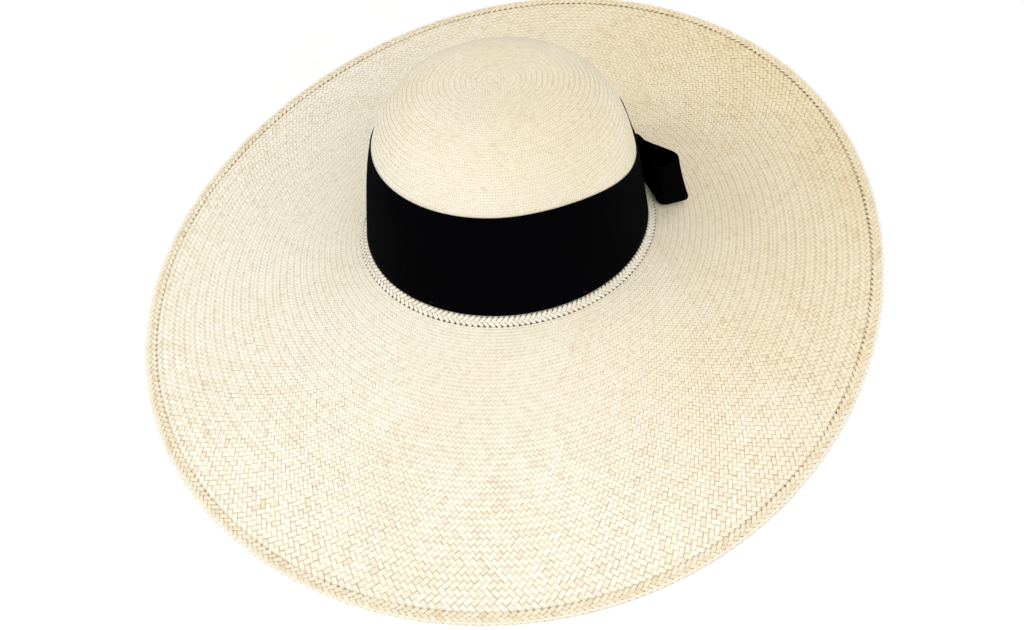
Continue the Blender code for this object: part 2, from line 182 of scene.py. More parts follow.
# Braids
BASE_BRAID_COVER = 0.0004        # how far the brim's weave runs on under each braid
EDGE_BRAID_COVER = 0.0007
BASE_FLOATS_BACK = 0.0008        # from the middle of the braid towards the crown
EDGE_FLOATS_BACK = 0.0037        # from the brim's outer edge
EDGE_MIDDLE = 0.00125            # height of the edge braid's middle
BRAID_CORE_STATIONS = 1200
EDGE_STRAND_STATIONS = 1500
FLOAT_STATIONS = 7
FLOAT_SIDES = np.array((-1.0, -0.5, 0.0, 0.5, 1.0))
BASE_FLOATS = {"pitch": 0.0034, "length": 0.0046, "slant": 0.68, "spread": 0.00125,
               "half_width": 0.00105, "rise": 0.00030, "crowning": 0.00012, "core": 0.00022,
               "core_half": 0.0020, "tan": -0.05}
EDGE_FLOATS = {"pitch": 0.0043, "length": 0.0062, "slant": 0.60, "spread": 0.00150,
               "half_width": 0.00130, "rise": 0.00045, "crowning": 0.00018, "core": 0.00040,
               "core_half": 0.0026, "tan": 0.30}

# Stitches
STITCHES = 150
STITCH_SHARE = 0.68              # of its spacing that a stitch covers
STITCH_BULGE = 0.0002
TACKS = {"front": -90.0, "front_left": -30.0, "rear": 100.0, "front_right": -150.0,
         "rear_right": 160.0}
TACK_HALF_LENGTH = 0.0015
TACK_HEIGHT = 0.0052
TACK_SLOPE = 0.0001
TACK_SEAT = 0.0002
TACK_RADIUS = 0.0002
TACK_BULGE = 0.00015
THREAD_STEP = 0.001              # to find the direction a stitch bows towards

# Stage and camera
FLOOR_HALF = 4.0
FLOOR_DROP = 0.0002
SKY_STRENGTH = 0.64
LIGHTS_AIM = (0.0, 0.0, 0.05)
LIGHTS = (("key", (-1.3, -1.1, 1.5), 17.0, 1.1, (1.0, 0.985, 0.96)),
          ("fill", (1.6, -0.8, 1.4), 19.0, 1.6, (1.0, 1.0, 1.0)),
          ("back", (0.3, 1.7, 1.7), 10.0, 1.6, (1.0, 0.99, 0.97)))
CAMERA_AZIMUTH = radians(33.66596)
CAMERA_ELEVATION = radians(53.6178)
CAMERA_ROLL = radians(-9.1292)
CAMERA_DISTANCE = 0.81573
CAMERA_RIGHT = -0.0022825
CAMERA_UP = -0.0391985
CAMERA_LENS = 42.1875


# Nodes

def feed(tree, socket, value):
    """Give a socket a number, a colour or another node's output."""
    if isinstance(value, (int, float)):
        socket.default_value = value
    elif isinstance(value, tuple):
        socket.default_value = (*value, 1.0)
    else:
        tree.links.new(value, socket)


def node(tree, kind, fed=None, **settings):
    """Add a node. fed holds what each input gets, by its name or number."""
    made = tree.nodes.new(kind)
    for key, value in settings.items():
        setattr(made, key, value)
    for key, value in (fed or {}).items():
        feed(tree, made.inputs[key], value)
    return made


def new_material(name, roughness, specular):
    """Add a material. Returns it with its node tree and its shader's inputs."""
    made = bpy.data.materials.new(name)
    made.use_nodes = True
    tree = made.node_tree
    shader = tree.nodes["Principled BSDF"].inputs
    shader["Roughness"].default_value = roughness
    shader["Specular IOR Level"].default_value = specular
    return made, tree, shader


def stored(tree, *names):
    """The mesh's own values of these names."""
    return [node(tree, "ShaderNodeAttribute", attribute_name=name).outputs["Fac"]
            for name in names]


def maths(tree, operation, a, b=0.0, clamp=False):
    return node(tree, "ShaderNodeMath", {0: a, 1: b}, operation=operation,
                use_clamp=clamp).outputs[0]


def times(tree, a, b):
    return maths(tree, "MULTIPLY", a, b)


def remap(tree, value, low, high, to_low=0.0, to_high=1.0):
    fed = {"Value": value, "From Min": low, "From Max": high, "To Min": to_low, "To Max": to_high}
    return node(tree, "ShaderNodeMapRange", fed,
                interpolation_type="SMOOTHSTEP").outputs["Result"]


def mix(tree, share, a, b, how="MIX"):
    return node(tree, "ShaderNodeMix", {0: share, 6: a, 7: b}, data_type="RGBA",
                blend_type=how).outputs[2]


def ramp(tree, value, stops):
    made = node(tree, "ShaderNodeValToRGB", {"Fac": value})
    keys = made.color_ramp.elements
    while len(keys) < len(stops):
        keys.new(0.5)
    for key, (place, colour) in zip(keys, stops):
        key.position = place
        key.color = (*colour, 1.0)
    return made.outputs["Color"]


def noise(tree, vector, scale, detail=3.0, roughness=0.55):
    fed = {"Vector": vector, "Scale": scale, "Detail": detail, "Roughness": roughness}
    return node(tree, "ShaderNodeTexNoise", fed).outputs["Fac"]


def wave(tree, vector, direction, scale, distortion):
    fed = {"Vector": vector, "Scale": scale, "Distortion": distortion}
    return node(tree, "ShaderNodeTexWave", fed, bands_direction=direction).outputs["Fac"]


def combine(tree, x, y, z):
    return node(tree, "ShaderNodeCombineXYZ", {0: x, 1: y, 2: z}).outputs[0]


def bump(tree, shader, height, strength, distance):
    made = node(tree, "ShaderNodeBump",
                {"Strength": strength, "Distance": distance, "Height": height})
    tree.links.new(made.outputs["Normal"], shader["Normal"])


def place(tree):
    return node(tree, "ShaderNodeTexCoord").outputs["Object"]


def straw_material(name, stops, tan, tan_share, end_shade_share, end_shade_colour):
    """Straw: fibre grain, a tone per strand, a tan tint that is partly painted shade, and painted
    shade at float ends and along strand edges.
    """
    made, tree, shader = new_material(name, 0.5, 0.35)
    run, across, tone, tan_and_shade = stored(tree, "run", "across", "tone", "tan_and_shade")
    floats = maths(tree, "FLOOR", times(tree, maths(tree, "ADD", run, 0.5), 0.5))
    seed = combine(tree, floats, times(tree, tone, 971.0), 0.0)
    cell = node(tree, "ShaderNodeTexWhiteNoise", {"Vector": seed},
                noise_dimensions="2D").outputs["Value"]
    own = maths(tree, "ADD", times(tree, cell, 0.45), times(tree, tone, 0.55))
    colour = ramp(tree, own, stops)
    along = combine(tree, times(tree, run, 0.30), times(tree, across, 3.2),
                    times(tree, tone, 211.0))
    fibre = noise(tree, along, 1.6, 4.0, 0.6)
    streak = remap(tree, fibre, 0.35, 0.72, 0.0, 0.55)
    colour = mix(tree, streak, colour, (0.80, 0.71, 0.53), "MULTIPLY")
    # Tan tint: broad random patches plus each point's stored tan value, which is painted shade
    # towards the back and the wearer's left.
    broad = noise(tree, place(tree), 9.0, 3.0, 0.6)
    tan_and_shade_mix = maths(tree, "MULTIPLY", maths(tree, "ADD", tan_and_shade, maths(tree, "SUBTRACT", broad, 0.5)),
                 tan_share, clamp=True)
    colour = mix(tree, tan_and_shade_mix, colour, tan, "MULTIPLY")
    # Painted shade: darker where each float ends and dives under the crossing strand, and along
    # strand edges where the gaps fall in shade.
    turn = maths(tree, "PINGPONG", maths(tree, "SUBTRACT", run, 1.5), 1.0)
    vary = remap(tree, cell, 0.2, 1.0, 0.55, 1.3)
    ends = maths(tree, "MULTIPLY", remap(tree, turn, 0.05, 0.27, end_shade_share, 0.0), vary, True)
    sides = remap(tree, maths(tree, "ABSOLUTE", across), 0.80, 1.0, 0.0, end_shade_share * 0.62)
    colour = mix(tree, maths(tree, "MAXIMUM", ends, sides), colour, end_shade_colour, "MULTIPLY")
    tree.links.new(colour, shader["Base Color"])
    tree.links.new(remap(tree, fibre, 0.2, 0.8, 0.42, 0.66), shader["Roughness"])
    bump(tree, shader, fibre, 0.35, 0.00006)
    return made


STRAW_STOPS = ((0.0, (0.96, 0.94, 0.87)), (0.30, (0.94, 0.91, 0.80)), (0.55, (0.93, 0.89, 0.75)),
               (0.75, (0.91, 0.84, 0.71)), (0.90, (0.86, 0.76, 0.60)), (1.0, (0.78, 0.66, 0.48)))
BRAID_STOPS = ((0.0, (0.93, 0.89, 0.77)), (0.40, (0.90, 0.84, 0.68)), (0.70, (0.86, 0.76, 0.58)),
               (1.0, (0.76, 0.63, 0.43)))
STRAW = straw_material("straw_strand", STRAW_STOPS, (0.86, 0.75, 0.54), 0.85, 0.62,
                       (0.50, 0.41, 0.23))
BRAID = straw_material("straw_braid_strand", BRAID_STOPS, (0.88, 0.78, 0.60), 0.6, 0.60,
                       (0.52, 0.40, 0.22))


def ribbon_material():
    """Black grosgrain: fine warp threads over the ribs, a dull sheen and faint lint."""
    made, tree, shader = new_material("black_grosgrain", 0.9, 0.02)
    run, across = stored(tree, "run", "across")
    where = place(tree)
    threads = wave(tree, combine(tree, across, run, 0.0), "X", 620.0, 0.6)
    lint = noise(tree, where, 420.0, 2.0)
    soft = noise(tree, where, 26.0, 3.0)
    colour = mix(tree, remap(tree, soft, 0.3, 0.7), (0.0002, 0.0002, 0.0006),
                 (0.0005, 0.0005, 0.0012))
    colour = mix(tree, remap(tree, lint, 0.68, 0.82, 0.0, 0.22), colour, (0.006, 0.006, 0.009))
    tree.links.new(colour, shader["Base Color"])
    tree.links.new(remap(tree, threads, 0.0, 1.0, 0.88, 0.74), shader["Roughness"])
    shader["Sheen Weight"].default_value = 0.002
    shader["Sheen Roughness"].default_value = 0.4
    bump(tree, shader, threads, 0.4, 0.00005)
    return made


def cloth_material(name, light, dark, weave_scale, roughness):
    """Plain-woven cotton: crossed threads in colour and relief, with soft unevenness."""
    made, tree, shader = new_material(name, roughness, 0.2)
    flat = combine(tree, *stored(tree, "run", "across"), 0.0)
    warp, weft = (wave(tree, flat, direction, weave_scale, 0.5) for direction in "XY")
    cross = times(tree, warp, weft)
    uneven = noise(tree, place(tree), 60.0, 4.0)
    colour = mix(tree, remap(tree, cross, 0.0, 0.6), dark, light)
    colour = mix(tree, remap(tree, uneven, 0.35, 0.75, 0.0, 0.4), colour, (0.86, 0.82, 0.74),
                 "MULTIPLY")
    tree.links.new(colour, shader["Base Color"])
    shader["Sheen Weight"].default_value = 0.08
    bump(tree, shader, cross, 0.5, 0.00008)
    return made


def thread_material(name, light, dark, roughness):
    """Twisted thread: slanted plies in colour and relief."""
    made, tree, shader = new_material(name, roughness, 0.3)
    run, across = stored(tree, "run", "across")
    slant = maths(tree, "ADD", times(tree, run, 900.0), across)
    ply = wave(tree, combine(tree, slant, 0.0, 0.0), "X", 0.4, 0.3)
    tree.links.new(mix(tree, ply, dark, light), shader["Base Color"])
    bump(tree, shader, ply, 0.6, 0.00006)
    return made


RIBBON = ribbon_material()
COTTON = cloth_material("sweatband_cotton", (0.86, 0.81, 0.69), (0.66, 0.58, 0.44), 260.0, 0.85)
LABEL = cloth_material("label_weave", (0.92, 0.91, 0.88), (0.78, 0.76, 0.72), 520.0, 0.6)
COTTON_THREAD = thread_material("cotton_thread", (0.90, 0.87, 0.79), (0.68, 0.62, 0.50), 0.7)
BLACK_THREAD = thread_material("black_thread", (0.020, 0.020, 0.026), (0.003, 0.003, 0.004), 0.6)


# Meshes

def mesh_object(name, points, faces, looks, values, smoothed=True):
    """Add a mesh from an array of points and a list of arrays of equal-sided faces.

    values are stored for each point, spread over the shape of the array of points.
    """
    data = bpy.data.meshes.new(name)
    data.vertices.add(points.size // 3)
    data.vertices.foreach_set("co", points.astype(np.float32).ravel())
    index = np.concatenate([f.ravel() for f in faces]).astype(np.int32)
    sizes = np.concatenate([np.full(len(f), f.shape[1]) for f in faces])
    starts = np.concatenate([[0], np.cumsum(sizes)[:-1]]).astype(np.int32)
    data.loops.add(len(index))
    data.loops.foreach_set("vertex_index", index)
    data.polygons.add(len(sizes))
    data.polygons.foreach_set("loop_start", starts)
    data.update(calc_edges=True)
    data.validate()
    data.polygons.foreach_set("use_smooth", np.full(len(data.polygons), smoothed))
    for key, value in values.items():
        layer = data.attributes.new(key, "FLOAT", "POINT")
        spread = np.broadcast_to(value, points.shape[:-1])
        layer.data.foreach_set("value", spread.astype(np.float32).ravel())
    data.materials.append(looks)
    made = bpy.data.objects.new(name, data)
    bpy.context.scene.collection.objects.link(made)
    return made


def grid_faces(count, stations, sides, closed_run, closed_round):
    """Faces of count strips or tubes, each of stations rings of sides points."""
    first = np.arange(count)[:, None, None] * stations
    ring = np.arange(stations if closed_run else stations - 1)[None, :, None]
    side = np.arange(sides if closed_round else sides - 1)[None, None, :]
    here = (first + ring) * sides
    there = (first + (ring + 1) % stations) * sides
    after = (side + 1) % sides
    faces = np.stack([here + side, there + side, there + after, here + after], -1)
    return faces.reshape(-1, 4)


def signed_volume(points, faces):
    """Six times the volume that the faces enclose, positive if they face outwards."""
    total = 0.0
    for f in faces:
        for i in range(1, f.shape[1] - 1):
            a, b, c = points[f[:, 0]], points[f[:, i]], points[f[:, i + 1]]
            total += np.einsum("ij,ij->", a, np.cross(b, c))
    return total


def tubes(name, rings, looks, values, closed_run=False):
    """Add tubes, capped if their run is open. rings is an array of (tube, station, side, xyz)."""
    count, stations, sides, _ = rings.shape
    points = rings.reshape(-1, 3)
    faces = [grid_faces(count, stations, sides, closed_run, True)]
    if not closed_run:
        start = np.arange(count)[:, None] * stations * sides + np.arange(sides)[None, :]
        faces += [start, start[:, ::-1] + (stations - 1) * sides]
    if signed_volume(points - points.mean(0), faces) < 0.0:
        faces = [f[:, ::-1] for f in faces]
    return mesh_object(name, rings, faces, looks, values)


def ribbons(name, rings, looks, values):
    """Add thin strips. rings is an array of (strip, station, side, xyz), edge to edge."""
    faces = [grid_faces(*rings.shape[:3], False, False)]
    return mesh_object(name, rings, faces, looks, values)


def unit(v):
    return v / np.maximum(np.linalg.norm(v, axis=-1, keepdims=True), 1e-12)


def turns(count):
    return np.linspace(0.0, tau, count, endpoint=False)


def between(pair, share):
    return pair[0] + (pair[1] - pair[0]) * share


def smooth(share):
    share = np.clip(share, 0.0, 1.0)
    return share * share * (3.0 - 2.0 * share)


def run_along(points):
    """Distances along a line of points, from its start."""
    steps = np.linalg.norm(np.diff(points, axis=0), axis=1)
    return np.concatenate([[0.0], np.cumsum(steps)])


def hat_piece(made, body, slot, *nodes):
    """Set what a piece rides on, and hide the CAD nodes it stands for. slot is not used."""
    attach(made, body)
    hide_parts(*nodes)
    return made


# Surfaces

def lean_out(x, y, z):
    """From the crown's own frame to the hat's."""
    c = cos(CROWN_LEAN)
    s = sin(CROWN_LEAN)
    return np.stack([x + CROWN_BASE[0], CROWN_BASE[1] + y * c + z * s,
                     CROWN_BASE[2] - y * s + z * c], -1)


def crown_reach(share):
    """How far out the crown stands at a share of its height, as a share of its base."""
    across, up = CROWN_FULLNESS
    return (1.0 - CROWN_TAPER * share) * np.clip(1.0 - share ** up, 0.0, 1.0) ** (1.0 / across)


def crown_at(theta, height, inset):
    """Points of the crown at a height above its base oval, in the crown's own frame."""
    share = np.clip(height / (CROWN_HEIGHT - inset), 0.0, 1.0)
    reach = crown_reach(share)
    x = (CROWN_HALF_WIDTH - inset) * reach * np.cos(theta) + CROWN_TIP_SHIFT[0] * share
    y = (CROWN_HALF_LENGTH - inset) * reach * np.sin(theta) + CROWN_TIP_SHIFT[1] * share
    return x, y, height + 0.0 * theta


CROWN_AXES = np.array(Matrix.Rotation(-CROWN_LEAN, 3, "X")).T
CROWN_ROW = STRAW_PITCH / sqrt(2.0)
CROWN_MIDDLE = CROWN_WALL / 2.0
CROWN_MEAN_RADIUS = sqrt(CROWN_HALF_WIDTH * CROWN_HALF_LENGTH) - CROWN_MIDDLE


def crown_table():
    """Return distances down the crown's mean side from its tip, the heights and radii."""
    turn = pi / 2.0 * (1.0 - np.linspace(0.0, 1.0, TABLE_SAMPLES[0]) ** 3)
    share = np.sin(turn) ** (2.0 / CROWN_FULLNESS[1])
    height = (CROWN_HEIGHT - CROWN_MIDDLE) * share
    radius = CROWN_MEAN_RADIUS * crown_reach(share)
    steps = np.hypot(np.diff(height), np.diff(radius))
    return np.concatenate([[0.0], np.cumsum(steps)]), height, radius


CROWN_RUN, CROWN_RUN_HEIGHT, CROWN_RUN_RADIUS = crown_table()
CROWN_ROWS = CROWN_RUN[-1] / CROWN_ROW


def crown_surface(theta, row):
    """Points of the crown's middle on a row of the weave, counted down from the tip."""
    run = np.clip(row, 0.0, CROWN_ROWS) * CROWN_ROW
    height = np.interp(run, CROWN_RUN, CROWN_RUN_HEIGHT)
    radius = np.interp(run, CROWN_RUN, CROWN_RUN_RADIUS)
    share = height / (CROWN_HEIGHT - CROWN_MIDDLE)
    reach = radius / CROWN_MEAN_RADIUS
    x = (CROWN_HALF_WIDTH - CROWN_MIDDLE) * reach * np.cos(theta)
    y = (CROWN_HALF_LENGTH - CROWN_MIDDLE) * reach * np.sin(theta)
    return lean_out(x + CROWN_TIP_SHIFT[0] * share, y + CROWN_TIP_SHIFT[1] * share, height)


def base_at(theta):
    """Return the base oval's points and their level outward directions."""
    x = CROWN_HALF_WIDTH * np.cos(theta)
    y = CROWN_HALF_LENGTH * np.sin(theta)
    out = np.stack([np.cos(theta) / CROWN_HALF_WIDTH, np.sin(theta) / CROWN_HALF_LENGTH], -1)
    return lean_out(x, y, 0.0 * x), unit(out)


def brim_reach(theta):
    """The level distance from the base oval to the brim's outer edge."""
    width = BRIM_WIDTH - BRIM_WIDTH_FRONT_GAIN * np.sin(theta)
    width = width - BRIM_WIDTH_SIDE_LOSS * np.cos(2.0 * theta)
    width = width - BRIM_WIDTH_THIRD_WAVE * np.sin(3.0 * theta)
    height = base_at(theta)[0][..., 2]
    return np.sqrt(width * width - height * height)


def brim_at(theta, out):
    """Points of the brim's middle at a level distance out from the base oval."""
    point, direction = base_at(theta)
    share = np.clip(1.0 - out / (brim_reach(theta) - EDGE_BRAID_WIDTH), 0.0, 1.0)
    height = BRIM_EDGE_LIFT + (point[..., 2] - BRIM_EDGE_LIFT) * share ** BRIM_FLARE
    return np.stack([point[..., 0] + direction[..., 0] * out,
                     point[..., 1] + direction[..., 1] * out, height], -1)


BRIM_FIRST = BASE_BRAID_GAP + BASE_BRAID_WIDTH - BASE_BRAID_COVER
BRIM_MARGIN = EDGE_BRAID_WIDTH - EDGE_BRAID_COVER


def brim_table():
    """Return row numbers outwards along the brim, and the share of its width there."""
    out = np.linspace(BRIM_FIRST, BRIM_MEAN_REACH - BRIM_MARGIN, TABLE_SAMPLES[1])
    left = 1.0 - out / (BRIM_MEAN_REACH - EDGE_BRAID_WIDTH)
    slope = CROWN_BASE[2] * BRIM_FLARE * np.clip(left, 0.0, 1.0) ** (BRIM_FLARE - 1.0)
    slope = slope / (BRIM_MEAN_REACH - EDGE_BRAID_WIDTH)
    rate = np.sqrt(1.0 + slope ** 2) / (BASE_MEAN_RADIUS + out) * BRIM_STRANDS / pi
    rows = np.concatenate([[0.0], np.cumsum((rate[1:] + rate[:-1]) / 2.0 * np.diff(out))])
    return rows, (out - out[0]) / (out[-1] - out[0])


BRIM_RUN, BRIM_RUN_SHARE = brim_table()
BRIM_ROWS = BRIM_RUN[-1]


def brim_surface(theta, row):
    """Points of the brim's middle on a row of the weave, counted out from the crown."""
    share = np.interp(row, BRIM_RUN, BRIM_RUN_SHARE)
    last = brim_reach(theta) - BRIM_MARGIN
    return brim_at(theta, BRIM_FIRST + (last - BRIM_FIRST) * share)


def normals(surface, theta, row):
    """Outward directions of a woven surface, from small steps round and across its rows."""
    turn, step = 0.004, 0.4
    along = surface(theta + turn, row) - surface(theta - turn, row)
    down = surface(theta, row + step) - surface(theta, row - step)
    return unit(np.cross(down, along))


# Weave

def strands(surface, first, last, count, way, relief, span):
    """Return the rings, and their run, of one direction of strands between two rows.

    Two over, two under: a strand lies on top on rows 0 and 1 of every four if way is
    1, and on rows 2 and 3 if way is -1. span is the surface's own (lowest, highest) row.
    """
    inner = np.arange(ceil(first + 0.25), floor(last - 0.25) + 1)
    rows = np.concatenate([[first], inner, [last]]).astype(float)
    drift = RNG.normal(0.0, STRAND_WANDER, (count, 1))
    drift = drift + RNG.normal(0.0, STRAND_WANDER * 0.5, (count, len(rows)))
    cover = RNG.uniform(*STRAND_COVER, (count, 1)) / 2.0
    angle = (2.0 * np.arange(count)[:, None] + way * rows[None, :] + drift) * pi / count
    rows = np.broadcast_to(rows, angle.shape)
    turn = pi / count * cover
    on_top = np.mod(np.round(rows), ROWS_PER_TWILL) < ROWS_PER_TWILL / 2.0
    lift = np.where(on_top == (way > 0), 1.0, -1.0)
    share = (rows - span[0]) / (span[1] - span[0])
    lift = lift * between(relief, share)
    lift = lift * (1.0 + RNG.normal(0.0, RELIEF_WANDER, angle.shape))
    up = normals(surface, angle, np.clip(rows, span[0] + 0.5, span[1] - 0.5))
    low = lift[..., None] * up
    high = (lift + STRAW_CROWNING)[..., None] * up
    left = surface(angle - turn, np.clip(rows + way * cover, *span)) + low
    right = surface(angle + turn, np.clip(rows - way * cover, *span)) + low
    apex = surface(angle, rows) + high
    rings = np.stack([left, apex, right], 2)
    run = np.broadcast_to(rows[:, :, None], rings.shape[:3])
    return rings, run


def painted_shade_at(points):
    """Painted shade, as tan: more at the back and the wearer's left, the side away from the key
    light.
    """
    toward = points[..., 0] * TAN_TOWARD[0] + points[..., 1] * TAN_TOWARD[1]
    return np.clip((toward - TAN_FROM) / TAN_SPAN, 0.0, 1.0) ** TAN_POWER


def straw_pieces(stem, groups, node_name, extra_tan):
    """Add groups of strands as pieces, each under the size limit."""
    number = 0
    for rings, run in groups:
        count, stations = rings.shape[:2]
        pieces = max(1, ceil(count * stations / PIECE_STATIONS))
        for part in np.array_split(np.arange(count), pieces):
            number += 1
            tone = RNG.beta(1.7, 2.2, (len(part), 1, 1))
            own = rings[part]
            made = ribbons(f"{stem}_{number:02d}", own, STRAW,
                           {"run": run[part], "across": STRAND_EDGES, "tone": tone,
                            "tan_and_shade": painted_shade_at(own) + extra_tan(own)})
            hat_piece(made, "hat", "straw", node_name)


def weave_brim():
    span = (0.0, BRIM_ROWS)
    groups = [strands(brim_surface, 0.0, BRIM_ROWS, BRIM_STRANDS, way, BRIM_RELIEF, span)
              for way in (1, -1)]
    straw_pieces("brim_weave", groups, "brim", lambda p: 0.0 * p[..., 0])


def crown_zones(way):
    """Return (first row, last row, strand count), with more strands as the crown widens."""
    hidden = 2.5 if way > 0 else 4.5      # a row where strands of this way lie underneath
    base = CROWN_ROWS - LAST_ZONE_ROWS
    zones = []
    row = hidden - 1.0
    while row < base:
        start = row if not zones else row - 0.5
        rows = ZONE_ROWS[0] if row < ZONE_ROWS_CHANGE else ZONE_ROWS[1]
        nominal = hidden + ROWS_PER_TWILL * round((row + rows - hidden) / ROWS_PER_TWILL)
        end = nominal if nominal < base else CROWN_ROWS
        middle = (max(row, 2.0) + end) / 2.0
        radius = float(np.interp(middle * CROWN_ROW, CROWN_RUN, CROWN_RUN_RADIUS))
        count = max(6, round(tau * radius / (2.0 * CROWN_ROW)))
        zones.append((max(start, 1.0), min(end + 0.5, CROWN_ROWS), count))
        row = end
    return zones


def joined(parts):
    """Put zones of equal length together, so that they make few pieces."""
    by_length = {}
    for rings, run in parts:
        by_length.setdefault(rings.shape[1], []).append((rings, run))
    return [(np.concatenate([p[0] for p in group]), np.concatenate([p[1] for p in group]))
            for group in by_length.values()]


def crown_tan(points):
    """Extra tan towards the crown's top."""
    return CROWN_TAN * np.clip((points[..., 2] - CROWN_TAN_FROM) / CROWN_TAN_SPAN, 0.0, 1.0)


def weave_crown():
    span = (0.0, CROWN_ROWS)
    relief = (CROWN_RELIEF, CROWN_RELIEF)
    parts = []
    for way in (1, -1):
        for first, last, count in crown_zones(way):
            parts.append(strands(crown_surface, first, last, count, way, relief, span))
    straw_pieces("crown_weave", joined(parts), "crown", crown_tan)


def weave_button():
    """The square of crossed strands that the crown was started from."""
    stations = np.linspace(-1.0, 1.0, 11) * BUTTON_STEP * BUTTON_REACH
    tip = crown_surface(np.array([0.0]), np.array([0.0]))[0]
    east, north, up = CROWN_AXES
    rings = []
    for axis, side, sign in ((east, north, 1.0), (north, east, -1.0)):
        for i in range(BUTTON_STRANDS):
            shift = (i - (BUTTON_STRANDS - 1) / 2.0) * BUTTON_STEP
            odd = 1.0 if i % 2 else -1.0
            ripple = sign * odd * np.cos(stations / BUTTON_STEP * pi)
            fall = BUTTON_FALL * (np.abs(stations) / stations.max()) ** 4
            middle = tip + axis * stations[:, None] + side * shift
            middle = middle + up * (ripple * BUTTON_RELIEF - fall + BUTTON_SEAT)[:, None]
            half = side * BUTTON_STEP * BUTTON_COVER
            rings.append(np.stack([middle - half, middle + up * BUTTON_CROWNING,
                                   middle + half], 1))
    rings = np.array(rings)
    tone = RNG.uniform(0.2, 0.7, (len(rings), 1, 1))
    run = (stations / BUTTON_STEP)[None, :, None]
    made = ribbons("crown_start_square", rings, STRAW,
                   {"run": run, "across": STRAND_EDGES, "tone": tone, "tan_and_shade": 0.45})
    hat_piece(made, "hat", "straw", "crown")


# Braids

def closed_path(point_at, samples=4000):
    """Return a closed path's length, and a function from distance to angle."""
    theta = np.linspace(0.0, tau, samples)
    length = run_along(point_at(theta))
    return length[-1], lambda s: np.interp(np.mod(s, length[-1]), length, theta)


def surface_frame(surface, theta, out):
    """Points of a ring surface, with its upward normal, the way round and the way out."""
    step = 0.0005
    middle = surface(theta, out)
    ahead = unit(surface(theta + step, out) - surface(theta - step, out))
    side = unit(surface(theta, out + step) - surface(theta, out - step))
    up = unit(np.cross(side, ahead))
    return middle, up * np.sign(up[..., 2:3]), ahead, side


def float_rows(name, node_name, surface, out_at, spec, looks):
    """A herringbone braid: two rows of slanted floats on each face, over a flat core coloured
    dark as painted shade for the holes between the floats.
    """
    total, angle_of = closed_path(lambda t: surface(t, out_at(t)))
    count = round(total / spec["pitch"])
    t = np.linspace(-1.0, 1.0, FLOAT_STATIONS)[None, :]
    parts = []
    tones = []
    for face in (1.0, -1.0):
        for row in (-1.0, 1.0):
            start = (np.arange(count) + 0.25 * row) / count * total
            wobble = RNG.uniform(-1.0, 1.0, (3, count, 1))
            slant = spec["slant"] * row + 0.06 * wobble[0]
            reach = spec["length"] / 2.0 * (1.0 + 0.05 * wobble[1])
            theta = angle_of(start[:, None] + t * reach * np.cos(slant))
            out = out_at(theta) + spec["spread"] * row + t * reach * np.sin(slant)
            middle, up, ahead, side = surface_frame(surface, theta, out)
            heading = ahead * np.cos(slant)[..., None] + side * np.sin(slant)[..., None]
            flat = unit(np.cross(up, heading))
            rise = spec["rise"] * (1.0 - 1.25 * t * t) * (1.0 + 0.12 * wobble[2])
            wide = spec["half_width"] * (1.0 - 0.30 * t ** 4) * (1.0 + 0.07 * wobble[2])
            loop = []
            for share in FLOAT_SIDES:
                lift = face * (spec["core"] + rise + spec["crowning"] * (1.0 - share * share))
                loop.append(middle + flat * (wide * share)[..., None] + up * lift[..., None])
            parts.append(np.stack(loop, 2))
            tones.append(RNG.uniform(0.0, 0.85, count) ** 1.3)
    rings = np.concatenate(parts)
    run = (0.5 + t + 2.0 * np.arange(len(rings))[:, None])[..., None]
    made = ribbons(name, rings, looks,
                   {"run": run, "across": FLOAT_SIDES[None, None, :],
                    "tone": np.concatenate(tones)[:, None, None],
                    "tan_and_shade": painted_shade_at(rings) * 0.6 + spec["tan"]})
    hat_piece(made, "hat", "straw_braid", node_name)
    # The core: a dark ring that stands for the shade seen through the holes between the floats.
    stations = np.arange(BRAID_CORE_STATIONS)
    theta = angle_of(stations / BRAID_CORE_STATIONS * total)
    middle, up, _, side = surface_frame(surface, theta, out_at(theta))
    loop = []
    for turn in turns(ROUND_SIDES):
        loop.append(middle + side * (spec["core_half"] * cos(turn))
                    + up * (spec["core"] * sin(turn)))
    rings = np.stack(loop, 1)[None]
    made = tubes(name + "_core", rings, SHADE_CORE_STRAW,
                 {"run": (stations * 0.4)[None, :, None], "tone": 0.5, "tan_and_shade": 0.3,
                  "across": np.linspace(-0.8, 0.8, ROUND_SIDES)[None, None, :]},
                 closed_run=True)
    hat_piece(made, "hat", "straw_braid", node_name)


def edge_surface(theta, out):
    """Points of the level surface through the edge braid's middle."""
    point, direction = base_at(theta)
    return np.stack([point[..., 0] + direction[..., 0] * out,
                     point[..., 1] + direction[..., 1] * out, 0.0 * out + EDGE_MIDDLE], -1)


def edge_strand(name, back, height, radii, tone, lobes):
    """A round strand that finishes the edge, with a slow twist."""
    total, angle_of = closed_path(lambda t: edge_surface(t, brim_reach(t)))
    stations = np.arange(EDGE_STRAND_STATIONS)
    theta = angle_of(stations / EDGE_STRAND_STATIONS * total)
    middle = edge_surface(theta, brim_reach(theta) - back)
    middle[:, 2] = height
    ahead = unit(np.roll(middle, -1, 0) - np.roll(middle, 1, 0))
    up = np.array([0.0, 0.0, 1.0])
    side = unit(np.cross(ahead, up))
    loop = []
    for turn in turns(ROUND_SIDES):
        twist = lobes * theta + turn
        swell = 1.0 + 0.05 * np.sin(3.0 * twist)
        loop.append(middle + side * (radii[0] * cos(turn) * swell)[:, None]
                    + up * (radii[1] * sin(turn) * swell)[:, None])
    rings = np.stack(loop, 1)[None]
    run = (stations * 0.8)[None, :, None]
    across = np.cos(turns(ROUND_SIDES))[None, None, :] * 0.6
    slow = 0.5 + 0.5 * np.sin(theta * 9.0 + 1.0) * np.sin(theta * 23.0)
    made = tubes(name, rings, EDGE_STRAW,
                 {"run": run, "across": across, "tone": (tone + 0.2 * slow)[None, :, None],
                  "tan_and_shade": painted_shade_at(rings) * 0.6}, closed_run=True)
    hat_piece(made, "hat", "straw_braid", "brim_edge_braid")


